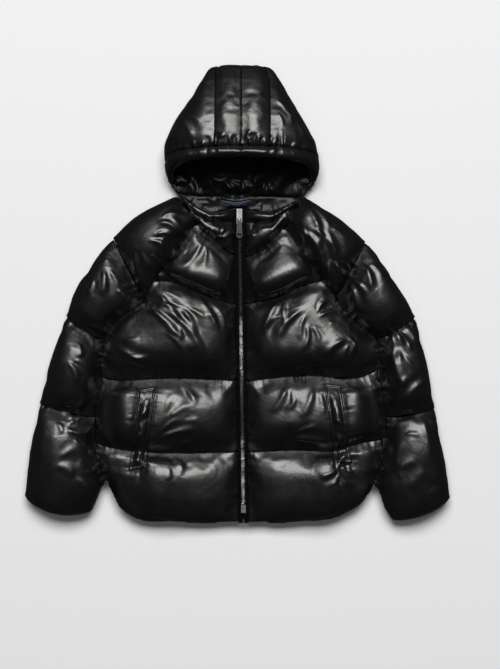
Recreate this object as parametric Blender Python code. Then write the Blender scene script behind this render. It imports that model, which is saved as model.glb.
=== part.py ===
"""A hooded puffer jacket, zipped up and laid flat on its back.

Metres, +Z up from the surface, +Y towards the hood, +X the wearer's left.
Every quilted channel is its own piece. The front layer lies on the back layer at MID,
each sleeve is a flattened tube, and the hood stands open above its own back panel.
"""

import bmesh
import bpy
import numpy as np
from mathutils import Vector
from mathutils.bvhtree import BVHTree

# Heights above the surface, in metres.
MID = 0.022          # where the front layer lies on the back layer
GAP = 0.0003         # between two pieces at a seam
FLANK_GAP = 0.0006   # drawn in on each side of the long curved seam beside the sleeve
LIP = 0.002          # padding left at a folded edge
SEAM_TOP = 0.032     # upper side of a quilting seam on the front
SEAM_UNDER = 0.005   # lower side of a quilting seam on the back
SLIT = 0.001         # half the height of the flattened space inside a sleeve
HEM_TOP = 0.026      # upper side of the hem's edge, and the same beside the zip
HEM_TOP_AT_ZIP = 0.027
EDGE_EASE = 0.09     # how much closer rows stand at the ends of a hem or cuff

# The zip runs down the front. Its middle is ZIP_X at the slider and leans to the wearer's left below.
ZIP_X = 0.0035
ZIP_LEAN = 0.0140    # sideways for each metre down, as a share
TAPE_HALF = 0.0090
TEETH_HALF = 0.0031
CHANNEL_HALF = 0.0095
ZIP_TOP = 0.1455
ZIP_BOTTOM = -0.3800
ZIP_BED = 0.0262     # underside of the tape
TAPE_TOP = 0.0278
TAPE_END = -0.3980
ZIP_ROWS = 8
PULL_PIVOT_Y = 0.1290
TEETH_START, TEETH_END = 0.1390, -0.3655
TEETH_LOW, TEETH_HIGH = 0.0258, 0.0290
# The box that closes the zip's lower end.
BOX_HALF, BOX_LENGTH, BOX_CORNER = 0.0040, 0.0140, 0.0010
BOX_LOW, BOX_HIGH = 0.0252, 0.0304

FRONT_COLUMNS = 12
BACK_COLUMNS = 12

# Stations down the flank, which the pieces on both sides of it share: number, wearer's right y, left y.
STATIONS = {
    "neck": (0, 0.1225, 0.1155),
    "chest": (5, 0.0220, 0.0230),
    "armpit": (7, -0.0120, -0.0080),
    "elbow": (12, -0.0820, -0.0790),
    "waist": (14, -0.1450, -0.1300),
    "wrist": (17, -0.2150, -0.2150),
    "hip": (19, -0.2590, -0.2530),
    "hem": (24, -0.3720, -0.3740),
}

# The seam from the neck down the raglan line and on down the side: x, y, top of the cloth there.
FLANK = {
    "right": [
        (-0.0710, 0.1225, 0.0360),
        (-0.1150, 0.0610, 0.0360),
        (-0.1480, 0.0160, 0.0350),
        (-0.1620, -0.0160, 0.0320),
        (-0.2090, -0.0455, 0.0270),
        (-0.2340, -0.0890, 0.0245),
        (-0.2410, -0.1450, 0.0240),
        (-0.2490, -0.2250, 0.0240),
        (-0.2470, -0.2800, 0.0240),
        (-0.2315, -0.3190, 0.0240),
        (-0.2090, -0.3720, 0.0240),
    ],
    "left": [
        (0.0815, 0.1155, 0.0360),
        (0.1250, 0.0560, 0.0360),
        (0.1570, 0.0105, 0.0350),
        (0.1970, -0.0440, 0.0300),
        (0.2440, -0.0805, 0.0245),
        (0.2510, -0.1450, 0.0240),
        (0.2590, -0.2150, 0.0240),
        (0.2575, -0.2700, 0.0240),
        (0.2405, -0.3270, 0.0240),
        (0.2290, -0.3560, 0.0240),
        (0.2060, -0.3740, 0.0240),
    ],
}

# Front quilting seams between the flank and the zip: x, y. They start at the flank, and None is the zip's edge.
FRONT_SEAMS = {
    "right": {
        "neck": [(-0.057, 0.1085), (-0.040, 0.0940), (-0.018, 0.0730), (None, 0.0650)],
        "chest": [(-0.118, 0.0210), (-0.083, 0.0105), (-0.048, -0.0050), (None, -0.0210)],
        "waist": [(-0.206, -0.1505), (-0.136, -0.1470), (None, -0.1505)],
        "hip": [(-0.214, -0.2680), (-0.150, -0.2750), (None, -0.2750)],
        "hem": [(-0.175, -0.3930), (-0.120, -0.3980), (None, -0.3990)],
    },
    "left": {
        "neck": [(0.0655, 0.1015), (0.050, 0.0820), (0.028, 0.0670), (None, 0.0630)],
        "chest": [(0.109, 0.0120), (0.074, -0.0035), (None, -0.0190)],
        "waist": [(0.2055, -0.1470), (0.1355, -0.1420), (0.057, -0.1470), (None, -0.1520)],
        "hip": [(0.211, -0.2590), (0.171, -0.2720), (0.109, -0.2710), (None, -0.2750)],
        "hem": [(0.171, -0.3900), (0.110, -0.3980), (None, -0.3990)],
    },
}

# Front channels: name, upper seam, lower seam, how far the padding rises above its seams.
FRONT_BANDS = [
    ("yoke", "neck", "chest", 0.026),
    ("chest", "chest", "waist", 0.028),
    ("waist", "waist", "hip", 0.025),
    ("hem", "hip", "hem", 0.023),
]

BACK_DROP = 0.036   # how far the padding would sink below its seams; the surface flattens it
# Back seams, at stations of the flank: y at the middle.
BACK_MIDDLE = {"neck": 0.1480, "chest": 0.0050, "waist": -0.1500, "hip": -0.2750, "hem": -0.3960}

# The sleeve's outer fold, shoulder to cuff: x, y.
SLEEVE_OUTER = {
    "right": [
        (-0.1075, 0.1700), (-0.1360, 0.1560), (-0.1750, 0.1350), (-0.2170, 0.0980), (-0.2570, 0.0470),
        (-0.2800, 0.0120), (-0.2980, -0.0385), (-0.3160, -0.0900), (-0.3340, -0.1450), (-0.3440, -0.1910),
        (-0.3560, -0.2470), (-0.3650, -0.3050), (-0.3700, -0.3540),
    ],
    "left": [
        (0.1170, 0.1690), (0.1450, 0.1510), (0.1790, 0.1295), (0.2230, 0.0910), (0.2500, 0.0600),
        (0.2730, 0.0240), (0.3090, -0.0400), (0.3180, -0.0720), (0.3290, -0.1180), (0.3440, -0.1995),
        (0.3560, -0.2640), (0.3650, -0.3170), (0.3700, -0.3560),
    ],
}
# Below the hip the sleeve's inner fold leaves the body: x, y.
SLEEVE_INNER_END = {
    "right": [
        (-0.2470, -0.2830), (-0.2390, -0.3060), (-0.2320, -0.3290), (-0.2420, -0.3570), (-0.2485, -0.3720),
        (-0.2500, -0.3775),
    ],
    "left": [
        (0.2570, -0.2780), (0.2495, -0.3060), (0.2425, -0.3340), (0.2525, -0.3700), (0.2640, -0.3885),
        (0.2680, -0.3940),
    ],
}
# Sleeve seams on each side: y of the outer end, and how far the seam bows towards the cuff.
SLEEVE_SEAMS = {
    "neck": {"right": (0.1700, 0.0), "left": (0.1690, 0.0)},
    "armpit": {"right": (0.0980, 0.0), "left": (0.0910, 0.0)},
    "elbow": {"right": (-0.0385, 0.004), "left": (-0.0400, 0.004)},
    "wrist": {"right": (-0.1910, 0.002), "left": (-0.1995, 0.002)},
    "cuff": {"right": (-0.3540, 0.018), "left": (-0.3560, 0.011)},
}
# Sleeve channels: name, upper seam, lower seam.
SLEEVE_BANDS = [
    ("shoulder", "neck", "armpit"),
    ("upper", "armpit", "elbow"),
    ("forearm", "elbow", "wrist"),
    ("cuff", "wrist", "cuff"),
]
# Padding above MID half-way along a channel, at a seam and at the cuff's end, then below MID.
SLEEVE_CREST, SLEEVE_SEAM_RISE, CUFF_END_RISE = 0.040, 0.015, 0.008
SLEEVE_DROP, SLEEVE_SEAM_DROP = 0.034, 0.016
SLEEVE_ACROSS = 7   # stretches from fold to fold
SLIT_INSET = 0.7    # how far into the first stretch the flattened space starts

# The largest creases of the front and the sleeves: start x, y, end x, y, half width, height.
CREASES = [
    (-0.150, 0.091, -0.119, 0.062, 0.012, 0.0040),
    (-0.122, 0.138, -0.098, 0.098, 0.012, 0.0040),
    (0.120, 0.148, 0.138, 0.078, 0.012, 0.0040),
    (0.163, 0.056, 0.171, 0.004, 0.012, 0.0035),
    (0.218, 0.050, 0.228, 0.006, 0.012, 0.0035),
    (-0.230, 0.042, -0.230, -0.004, 0.012, 0.0040),
    (-0.267, -0.060, -0.246, -0.104, 0.012, 0.0040),
    (-0.290, -0.118, -0.276, -0.154, 0.012, 0.0030),
    (0.263, -0.060, 0.293, -0.090, 0.012, 0.0035),
    (0.270, -0.098, 0.284, -0.159, 0.012, 0.0030),
    (0.284, -0.150, 0.328, -0.184, 0.012, 0.0030),
    (-0.160, -0.019, -0.092, -0.093, 0.012, 0.0040),
    (-0.141, 0.002, -0.100, -0.046, 0.010, 0.0030),
    (-0.142, -0.021, -0.057, -0.110, 0.012, 0.0035),
    (-0.064, -0.007, -0.036, -0.060, 0.010, 0.0025),
    (-0.218, -0.086, -0.158, -0.117, 0.012, 0.0030),
    (0.074, -0.007, 0.043, -0.072, 0.012, 0.0035),
    (0.109, -0.028, 0.066, -0.081, 0.012, 0.0030),
    (0.185, -0.079, 0.148, -0.112, 0.012, 0.0035),
    (0.127, -0.130, 0.171, -0.126, 0.010, 0.0025),
]

# The collar's edges on each side, from its outer corner to the zip: x, y.
COLLAR = {
    "right": {
        "top": [(-0.1060, 0.1790), (-0.0800, 0.1590), (-0.0480, 0.1430), (None, 0.1460)],
        "middle": [(-0.0990, 0.1650), (-0.0600, 0.1310), (-0.0300, 0.1250), (None, 0.1250)],
    },
    "left": {
        "top": [(0.1150, 0.1710), (0.0920, 0.1560), (0.0600, 0.1440), (None, 0.1440)],
        "middle": [(0.1080, 0.1590), (0.0860, 0.1440), (0.0570, 0.1240), (None, 0.1240)],
    },
}
COLLAR_TOPS = {"top": 0.032, "middle": 0.036}   # height of the cloth along those two edges
COLLAR_CORNER_TOP, COLLAR_CORNER_GAP = 0.028, 0.0008
COLLAR_RISE, COLLAR_ROWS = 0.017, 5
COLLAR_BACK_DROP, COLLAR_BACK_ROWS = 0.020, 4
BACK_NECK = [(-0.0700, 0.1240), (-0.0400, 0.1420), (0.0050, 0.1480), (0.0500, 0.1400), (0.0805, 0.1180)]
HOOD_SEAM = [(-0.1050, 0.1745), (-0.0500, 0.1720), (0.0050, 0.1740), (0.0600, 0.1710), (0.1155, 0.1700)]

# The hood. Outline of its back panel on each side, neck to crown: x, y.
HOOD_OUTLINE = {
    "right": [
        (-0.1050, 0.1745), (-0.1215, 0.1960), (-0.1250, 0.2240), (-0.1285, 0.2500), (-0.1160, 0.2820),
        (-0.0810, 0.3380), (-0.0620, 0.3690), (-0.0480, 0.3930),
    ],
    "left": [
        (0.1155, 0.1700), (0.1350, 0.1900), (0.1410, 0.2130), (0.1430, 0.2400), (0.1320, 0.2620),
        (0.0920, 0.3360), (0.0710, 0.3745), (0.0570, 0.3930),
    ],
}
HOOD_CROWN = [(-0.0480, 0.3930), (-0.0235, 0.3980), (0.0060, 0.3970), (0.0430, 0.3980), (0.0570, 0.3930)]
HOOD_FLOOR = 0.020
HOOD_WALL = 0.011
HOOD_BACK_EDGE, HOOD_BACK_DROP, HOOD_BACK_ROWS = 0.014, 0.040, 11
# Arches of the hood's shell, crown to brim seam:
# wearer's right foot x, y, left foot x, y, y of the arch's middle, its height.
HOOD_ARCHES = [
    (-0.0480, 0.3910, 0.0570, 0.3910, 0.3975, 0.0300),
    (-0.0540, 0.3820, 0.0650, 0.3820, 0.3900, 0.0470),
    (-0.0680, 0.3590, 0.0790, 0.3590, 0.3680, 0.0610),
    (-0.0900, 0.3250, 0.0990, 0.3240, 0.3350, 0.0770),
    (-0.1120, 0.2890, 0.1180, 0.2900, 0.3050, 0.0880),
    (-0.1285, 0.2480, 0.1375, 0.2530, 0.2740, 0.0950),
    (-0.1270, 0.2240, 0.1430, 0.2260, 0.2495, 0.0975),
]
# Arches of the brim band, seam to opening edge, in the same columns.
BRIM_ARCHES = [
    (-0.1270, 0.2230, 0.1430, 0.2250, 0.2485, 0.0985),
    (-0.1265, 0.2130, 0.1427, 0.2150, 0.2430, 0.1040),
    (-0.1250, 0.2030, 0.1418, 0.2060, 0.2375, 0.1045),
    (-0.1215, 0.1935, 0.1395, 0.1965, 0.2325, 0.0990),
    (-0.1165, 0.1870, 0.1345, 0.1890, 0.2305, 0.0900),
]
HOOD_SEAM_X = [-0.0385, 0.0070, 0.0570]
HOOD_STRIPS = ["hood_side_right", "hood_centre_right", "hood_centre_left", "hood_side_left"]
HOOD_STRIP_COLUMNS = [6, 3, 3, 6]
HOOD_PUFF = 0.004
ARCH_LIFT = 0.75   # how soon an arch reaches its height: 1 is a half sine
ARCH_SWEEP = 0.50  # how soon its feet sweep up to its middle line

# Pocket welts, drawn on the front: corner x, y, outer top, inner top, inner bottom, outer bottom.
WELTS = {
    "right": [(-0.1690, -0.1540), (-0.1400, -0.1600), (-0.1590, -0.3110), (-0.1880, -0.3060)],
    "left": [(0.1790, -0.1480), (0.1490, -0.1550), (0.1690, -0.3010), (0.1985, -0.2930)],
}
WELT_CLEAR, WELT_EDGE, WELT_THICK = 0.0020, 0.0018, 0.0040
WELT_COLUMNS, WELT_ROWS, WELT_BRIDGING = 4, 15, 6
# The label: middle, half its length, its depth, how far its ends rise, and its thickness.
LABEL_X, LABEL_Y = -0.0030, 0.1600
LABEL_HALF, LABEL_DEEP, LABEL_SAG, LABEL_THICK = 0.0280, 0.0075, 0.0050, 0.0012


# ------------------------------------------------------------------ finishes

FINISHES = {}


def finish(name, colour, roughness, metallic=0.0):
    """One Principled material for the pieces that share a cloth or a metal."""
    material = bpy.data.materials.new(name)
    material.use_nodes = True
    shader = material.node_tree.nodes["Principled BSDF"]
    shader.inputs["Base Color"].default_value = (*colour, 1.0)
    shader.inputs["Roughness"].default_value = roughness
    shader.inputs["Metallic"].default_value = metallic
    material.diffuse_color = (*colour, 1.0)
    FINISHES[name] = material


# ------------------------------------------------------------------ curves and grids


def curve(points, count):
    """A smooth curve through a few points, read at equal steps along its length."""
    points = np.array(points, float)
    at = np.r_[0.0, np.cumsum(np.linalg.norm(np.diff(points, axis=0), axis=1))]
    slope = np.gradient(points, at, axis=0)
    fine = np.linspace(0.0, at[-1], 400)
    k = np.clip(np.searchsorted(at, fine, side="right") - 1, 0, len(at) - 2)
    span = (at[k + 1] - at[k])[:, None]
    t = (fine - at[k])[:, None] / span
    path = (
        (2 * t**3 - 3 * t**2 + 1) * points[k]
        + (t**3 - 2 * t**2 + t) * span * slope[k]
        + (3 * t**2 - 2 * t**3) * points[k + 1]
        + (t**3 - t**2) * span * slope[k + 1]
    )
    along = np.r_[0.0, np.cumsum(np.linalg.norm(np.diff(path, axis=0), axis=1))]
    even = np.linspace(0.0, along[-1], count)
    return np.column_stack([np.interp(even, along, path[:, i]) for i in range(path.shape[1])])


def even(count):
    return np.linspace(0, 1, count)


def eased(count):
    """Steps from 0 to 1 that stand closer together at both ends."""
    return even(count) - EDGE_EASE * np.sin(2 * np.pi * even(count))


def lengths_along(path):
    """How far along a path each of its corners stands, seen from above."""
    return np.r_[0.0, np.cumsum(np.linalg.norm(np.diff(path[:, :2], axis=0), axis=1))]


def between(path, start_y, end_y, shares):
    """The stretch of a path that falls in y, from one height to another, at shares of its length."""
    along = lengths_along(path)
    start, end = np.interp([start_y, end_y], path[::-1, 1], along[::-1])
    places = start + (end - start) * shares
    return np.column_stack([np.interp(places, along, path[:, i]) for i in range(path.shape[1])])


def coons(south, north, west, east):
    """A grid that fills four edge curves. South and north share a count, and so do west and east."""
    v = np.linspace(0, 1, len(west))[:, None, None]
    u = np.linspace(0, 1, len(south))[None, :, None]
    rows = (1 - v) * south[None] + v * north[None]
    columns = (1 - u) * west[:, None] + u * east[:, None]
    corners = (1 - v) * ((1 - u) * south[0] + u * south[-1])
    corners = corners + v * ((1 - u) * north[0] + u * north[-1])
    return rows + columns - corners


def swell(shares, fullness=0.6):
    """The rise of padding from a seam at 0 to a seam at 1, steep at the seams and full between."""
    return (1 - np.abs(2 * shares - 1) ** 2.4) ** fullness


def draw_in(grid, row_gaps, column_gaps):
    """Pull a grid's border in, level with the surface: gaps at its first and last rows, then columns."""
    grid = grid.copy()
    for axis, gaps in ((0, row_gaps), (1, column_gaps)):
        lines = grid if axis == 0 else grid.swapaxes(0, 1)
        for edge, beside, gap in ((0, 1, gaps[0]), (-1, -2, gaps[1])):
            step = lines[beside] - lines[edge]
            step[:, 2] = 0.0
            step = step / np.linalg.norm(step, axis=1, keepdims=True)
            lines[edge] = lines[edge] + step * gap
    return grid


def with_height(grid, height):
    """The same grid seen from above, at other heights."""
    return np.dstack([grid[..., 0], grid[..., 1], np.broadcast_to(height, grid.shape[:2])])


def creased(grid):
    """The height that the largest creases add at each point of a grid."""
    added = np.zeros(grid.shape[:2])
    for x0, y0, x1, y1, half, height in CREASES:
        line = np.array([x1 - x0, y1 - y0])
        offset = grid[..., :2] - np.array([x0, y0])
        along = np.clip(offset @ line / (line @ line), 0, 1)
        away = np.linalg.norm(offset - along[..., None] * line, axis=2)
        added += height * np.exp(-((away / half) ** 2)) * np.sqrt(np.sin(np.pi * np.clip(along, 0.05, 0.95)))
    return added


# ------------------------------------------------------------------ solids


def add_piece(name, points, faces, material):
    mesh = bpy.data.meshes.new(name)
    mesh.from_pydata([tuple(map(float, point)) for point in points], [], faces)
    shape = bmesh.new()
    shape.from_mesh(mesh)
    bmesh.ops.recalc_face_normals(shape, faces=shape.faces)
    shape.to_mesh(mesh)
    shape.free()
    mesh.shade_smooth()
    mesh.set_sharp_from_angle(angle=0.9)
    mesh.materials.append(FINISHES[material])
    piece = bpy.data.objects.new(name, mesh)
    bpy.context.collection.objects.link(piece)
    return piece


def slab(name, shaped, other, material="coated_black", flat=False):
    """A closed wall between two grids of one size. A flat second side is one face with the grid's border."""
    rows, columns = shaped.shape[:2]
    count = rows * columns
    index = np.arange(count).reshape(rows, columns)
    border = list(index[0, :-1]) + list(index[:-1, -1]) + list(index[-1, :0:-1]) + list(index[:0:-1, 0])
    border = [int(i) for i in border]
    rings = []
    for r in range(rows - 1):
        for c in range(columns - 1):
            ring = [index[r, c], index[r, c + 1], index[r + 1, c + 1], index[r + 1, c]]
            rings.append([int(i) for i in ring])
    points = [shaped.reshape(-1, 3)]
    faces = list(rings)
    if flat:
        points.append(other.reshape(-1, 3)[border])
        below = {here: count + number for number, here in enumerate(border)}
        faces.append([below[here] for here in reversed(border)])
    else:
        points.append(other.reshape(-1, 3))
        below = {here: here + count for here in border}
        faces += [[i + count for i in reversed(ring)] for ring in rings]
    for here, after in zip(border, border[1:] + border[:1]):
        # Each side wall is split along the diagonal that the next piece's wall has too.
        low, high = min(here, after), max(here, after)
        faces.append([after, here, below[high]])
        faces.append([here, below[here], below[after]] if here == low else [after, below[here], below[after]])
    return add_piece(name, np.vstack(points), faces, material)


def tube(name, outer, inner, material="coated_black"):
    """A closed wall between two grids whose columns go all the way round."""
    rows, columns = outer.shape[:2]
    count = rows * columns
    faces = []
    for c in range(columns):
        d = (c + 1) % columns
        for r in range(rows - 1):
            a, b = r * columns, (r + 1) * columns
            faces.append([a + c, a + d, b + d, b + c])
            faces.append([count + b + c, count + b + d, count + a + d, count + a + c])
        last = (rows - 1) * columns
        faces.append([d, c, count + c, count + d])
        faces.append([last + c, last + d, count + last + d, count + last + c])
    return add_piece(name, np.vstack([outer.reshape(-1, 3), inner.reshape(-1, 3)]), faces, material)


def prism(name, near, far, material):
    """A solid between two rings of as many corners."""
    count = len(near)
    faces = [list(range(count))[::-1], list(range(count, 2 * count))]
    faces += [[i, (i + 1) % count, (i + 1) % count + count, i + count] for i in range(count)]
    return add_piece(name, near + far, faces, material)


def plate(name, outline, low, high, material):
    """An outline seen from above, given thickness."""
    return prism(name, [(x, y, low) for x, y in outline], [(x, y, high) for x, y in outline], material)


def side_plate(name, outline, half, material):
    """An outline in y and z, given a width each side of the zip."""
    near = [(ZIP_X - half, y, z) for y, z in outline]
    return prism(name, near, [(ZIP_X + half, y, z) for y, z in outline], material)


def combine(piece, other, operation):
    """A Boolean with a helper that stays out of the model."""
    other.hide_render = True
    other.display_type = "WIRE"
    modifier = piece.modifiers.new(operation.lower() + "_" + other.name, "BOOLEAN")
    modifier.operation = operation
    modifier.object = other


# ------------------------------------------------------------------ body


def side_of(side):
    return -1.0 if side == "right" else 1.0


def zip_x(y):
    """The zip's middle at one height down the front."""
    return ZIP_X + ZIP_LEAN * (PULL_PIVOT_Y - y)


def channel_x(side, y):
    """The front's edge beside the zip."""
    return zip_x(y) + side_of(side) * CHANNEL_HALF


def station_y(side, name):
    return STATIONS[name][1 if side == "right" else 2]


def flank_of(side):
    """The flank's corners, numbered as in STATIONS: x, y, top of the cloth."""
    path = curve(FLANK[side], 400)
    names = list(STATIONS)
    corners = []
    for name, after in zip(names, names[1:]):
        count = STATIONS[after][0] - STATIONS[name][0] + 1
        shares = eased(count) if after == "hem" else even(count)
        stretch = between(path, station_y(side, name), station_y(side, after), shares)
        corners.append(stretch if after == "hem" else stretch[:-1])
    return np.vstack(corners)


def rows_of(band, count):
    """Where a body channel's rows stand between its lower and its upper seam."""
    return eased(count) if band == "hem" else even(count)


def flank_part(flank, start, end):
    return flank[STATIONS[start][0]:STATIONS[end][0] + 1]


def front_seam(side, name, flank):
    """One front seam from the flank to the zip, with the height of the cloth on it."""
    rows = FRONT_SEAMS[side][name]
    top = HEM_TOP if name == "hem" else SEAM_TOP
    points = [tuple(flank[STATIONS[name][0]])] + [(x, y, top) for x, y in rows[:-1]]
    zip_top = HEM_TOP_AT_ZIP if name == "hem" else SEAM_TOP - 0.002
    zip_y = rows[-1][1]
    points.append((channel_x(side, zip_y), zip_y, zip_top))
    return curve(points, FRONT_COLUMNS)


def make_front(side):
    flank = flank_of(side)
    for band, upper, lower, rise in FRONT_BANDS:
        south = front_seam(side, lower, flank)
        north = front_seam(side, upper, flank)
        west = flank_part(flank, upper, lower)[::-1]
        shares = rows_of(band, len(west))
        east = south[-1] + (north[-1] - south[-1]) * shares[:, None]
        grid = coons(south, north, west, east)
        grid = draw_in(grid, (GAP / 2, GAP / 2), (FLANK_GAP, GAP))
        dome = swell(shares)[:, None] * swell(even(FRONT_COLUMNS))[None, :]
        top = grid[..., 2] + rise * dome + creased(grid) * dome
        slab(f"front_{side}_{band}", with_height(grid, top), with_height(grid, MID + GAP / 2), flat=True)


def back_seam(name):
    """One back seam, from flank to flank, with the height of its underside."""
    right, left = (flank_of(side)[STATIONS[name][0]] for side in ("right", "left"))
    folded = name not in ("neck", "chest")
    end_under = MID - 2 * LIP if folded else SEAM_UNDER
    under = MID - 2 * LIP if name == "hem" else SEAM_UNDER
    if name == "neck":
        inner = BACK_NECK[1:-1]
    else:
        side_y = (right[1] + left[1]) / 2
        inner = []
        for share in (0.2, 0.5, 0.8):
            lift = 4 * share * (1 - share)
            y = side_y + (BACK_MIDDLE[name] - side_y) * lift
            inner.append((right[0] + (left[0] - right[0]) * share, y))
    points = [(right[0], right[1], end_under)]
    points += [(x, y, under) for x, y in inner]
    points += [(left[0], left[1], end_under)]
    return curve(points, BACK_COLUMNS)


def make_back():
    for band, upper, lower, _ in FRONT_BANDS:
        north, south = back_seam(upper), back_seam(lower)
        edges = []
        for side, end in (("right", 0), ("left", -1)):
            edge = flank_part(flank_of(side), upper, lower)[::-1].copy()
            shares = rows_of(band, len(edge))
            edge[:, 2] = south[end, 2] * (1 - shares) + north[end, 2] * shares
            edges.append(edge)
        grid = coons(south, north, *edges)
        grid = draw_in(grid, (GAP / 2, GAP / 2), (FLANK_GAP, FLANK_GAP))
        dome = swell(shares)[:, None] * swell(even(BACK_COLUMNS))[None, :]
        under = np.clip(grid[..., 2] - BACK_DROP * dome, 0.0, MID - 1.5 * LIP)
        slab(f"back_{band}", with_height(grid, under), with_height(grid, MID - GAP / 2), flat=True)


# ------------------------------------------------------------------ sleeves


def inner_fold(side, start, end):
    """The sleeve's inner fold between two seams: it follows the flank's corners, then leaves the body."""
    flank = flank_of(side)
    if end != "cuff":
        path = flank_part(flank, start, end)
    else:
        shared = flank_part(flank, start, "hip")
        lip = shared[-1, 2]
        path = np.vstack([shared, [(x, y, lip) for x, y in SLEEVE_INNER_END[side]]])
    path = path.copy()
    path[:, 0] += side_of(side) * 2 * FLANK_GAP
    return path


def make_sleeve(side):
    outward = side_of(side)
    outer_path = curve(SLEEVE_OUTER[side], 300)
    across = (1 - np.cos(np.pi * even(SLEEVE_ACROSS + 1))) / 2
    dome = swell(across, 0.55)
    for band, start, end in SLEEVE_BANDS:
        inner = inner_fold(side, start, end)
        start_y, start_bow = SLEEVE_SEAMS[start][side]
        end_y, end_bow = SLEEVE_SEAMS[end][side]
        shares = lengths_along(inner) / lengths_along(inner)[-1]
        outer = between(outer_path, start_y, end_y, shares)
        full = swell(shares)
        bow = start_bow * (1 - shares) + end_bow * shares
        reach = inner[:, :2] - outer
        down = np.column_stack([reach[:, 1], -reach[:, 0]]) * -outward
        down = down / np.linalg.norm(down, axis=1, keepdims=True)
        plan = outer[:, None] + reach[:, None] * across[None, :, None]
        plan = plan + down[:, None] * (bow[:, None] * 4 * across * (1 - across))[..., None]
        plan = np.dstack([plan, np.zeros(plan.shape[:2])])
        plan = draw_in(plan, (GAP * 2 if band == "shoulder" else GAP / 2, GAP / 2), (0, 0))
        rise = SLEEVE_SEAM_RISE + (SLEEVE_CREST - SLEEVE_SEAM_RISE) * full
        if band == "cuff":
            rise[-1] = CUFF_END_RISE
        drop = SLEEVE_SEAM_DROP + (SLEEVE_DROP - SLEEVE_SEAM_DROP) * full
        top = MID + LIP / 2 + rise[:, None] * dome + creased(plan) * full[:, None] * dome
        under = np.maximum(MID - LIP / 2 - drop[:, None] * dome, 0.0)
        slit = plan.copy()
        slit[:, 0] = plan[:, 0] + (plan[:, 1] - plan[:, 0]) * SLIT_INSET
        if band == "shoulder":
            # Open along the raglan seam, where the sleeve's space meets the body's.
            ramp = across**1.5 * (1 - 0.5 * dome)
            top = top + (inner[:, 2] - MID - LIP / 2)[:, None] * ramp
            under = np.minimum(under, MID - (MID - SEAM_UNDER) * np.clip(3 * across - 2, 0, 1))
            outside = [with_height(plan, top)[:, ::-1], with_height(plan, np.maximum(under, 0.0))[:, 1:]]
            inside = [with_height(slit, MID + SLIT)[:, ::-1], with_height(slit, MID - SLIT)[:, 1:]]
            slab(f"sleeve_{side}_{band}", np.concatenate(outside, 1), np.concatenate(inside, 1))
            continue
        slit[:, -1] = plan[:, -1] + (plan[:, -2] - plan[:, -1]) * SLIT_INSET
        half = np.full(slit.shape[:2], SLIT)
        half[:, [0, -1]] = 0.0
        outside = [with_height(plan, top), with_height(plan, under)[:, -2:0:-1]]
        inside = [with_height(slit, MID + half), with_height(slit, MID - half)[:, -2:0:-1]]
        tube(f"sleeve_{side}_{band}", np.concatenate(outside, 1), np.concatenate(inside, 1))


# ------------------------------------------------------------------ collar


def make_collar():
    for side in ("right", "left"):
        flank = flank_of(side)
        neck = front_seam(side, "neck", flank)
        edges = {}
        for name, height in COLLAR_TOPS.items():
            rows = COLLAR[side][name]
            points = [(x, y, height if number else COLLAR_CORNER_TOP) for number, (x, y) in enumerate(rows[:-1])]
            zip_y = rows[-1][1]
            points.append((channel_x(side, zip_y), zip_y, SEAM_TOP))
            edges[name] = curve(points, FRONT_COLUMNS)
        for band, south, north in (("lower", neck, edges["middle"]), ("upper", edges["middle"], edges["top"])):
            west = np.linspace(south[0], north[0], COLLAR_ROWS)
            east = np.linspace(south[-1], north[-1], COLLAR_ROWS)
            grid = coons(south, north, west, east)
            grid = draw_in(grid, (GAP / 2, GAP / 2), (COLLAR_CORNER_GAP, GAP))
            dome = swell(even(COLLAR_ROWS))[:, None] * swell(even(FRONT_COLUMNS))[None, :]
            top = grid[..., 2] + COLLAR_RISE * dome
            slab(f"collar_{side}_{band}", with_height(grid, top), with_height(grid, MID + GAP / 2), flat=True)
    south = curve([(x, y, SEAM_UNDER) for x, y in BACK_NECK], BACK_COLUMNS)
    north = curve([(x, y, SEAM_UNDER) for x, y in HOOD_SEAM], BACK_COLUMNS)
    west = np.linspace(south[0], north[0], COLLAR_BACK_ROWS)
    east = np.linspace(south[-1], north[-1], COLLAR_BACK_ROWS)
    grid = draw_in(coons(south, north, west, east), (GAP, GAP / 2), (2 * FLANK_GAP, 2 * FLANK_GAP))
    dome = swell(even(COLLAR_BACK_ROWS))[:, None] * swell(even(BACK_COLUMNS))[None, :]
    under = np.maximum(grid[..., 2] - COLLAR_BACK_DROP * dome, 0.0)
    slab("collar_back", with_height(grid, under), with_height(grid, HOOD_FLOOR), flat=True)


# ------------------------------------------------------------------ hood


def arch(row, shares):
    """One arch of the hood: points from the right foot over the top to the left foot."""
    right_x, right_y, left_x, left_y, middle_y, height = row
    centre, half = (right_x + left_x) / 2, (left_x - right_x) / 2
    turn = np.pi * shares
    lift = np.sin(turn) ** ARCH_LIFT
    foot_y = right_y + (left_y - right_y) * (1 - np.cos(turn)) / 2
    y = foot_y + (middle_y - foot_y) * np.sin(turn) ** ARCH_SWEEP
    base = HOOD_FLOOR + GAP
    return np.column_stack([centre - half * np.cos(turn), y, base + (height - base) * lift])


def arch_shares(row):
    """Where the columns of the four strips fall along an arch, so that its seams run straight down the hood."""
    centre, half = (row[0] + row[2]) / 2, (row[2] - row[0]) / 2
    places = np.clip((centre - np.array(HOOD_SEAM_X)) / half, -0.75, 0.75)
    shares = np.r_[0.0, np.arccos(places) / np.pi, 1.0]
    spread = [np.linspace(a, b, n + 1)[:-1] for a, b, n in zip(shares, shares[1:], HOOD_STRIP_COLUMNS)]
    return np.concatenate(spread + [np.array([1.0])])


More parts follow.
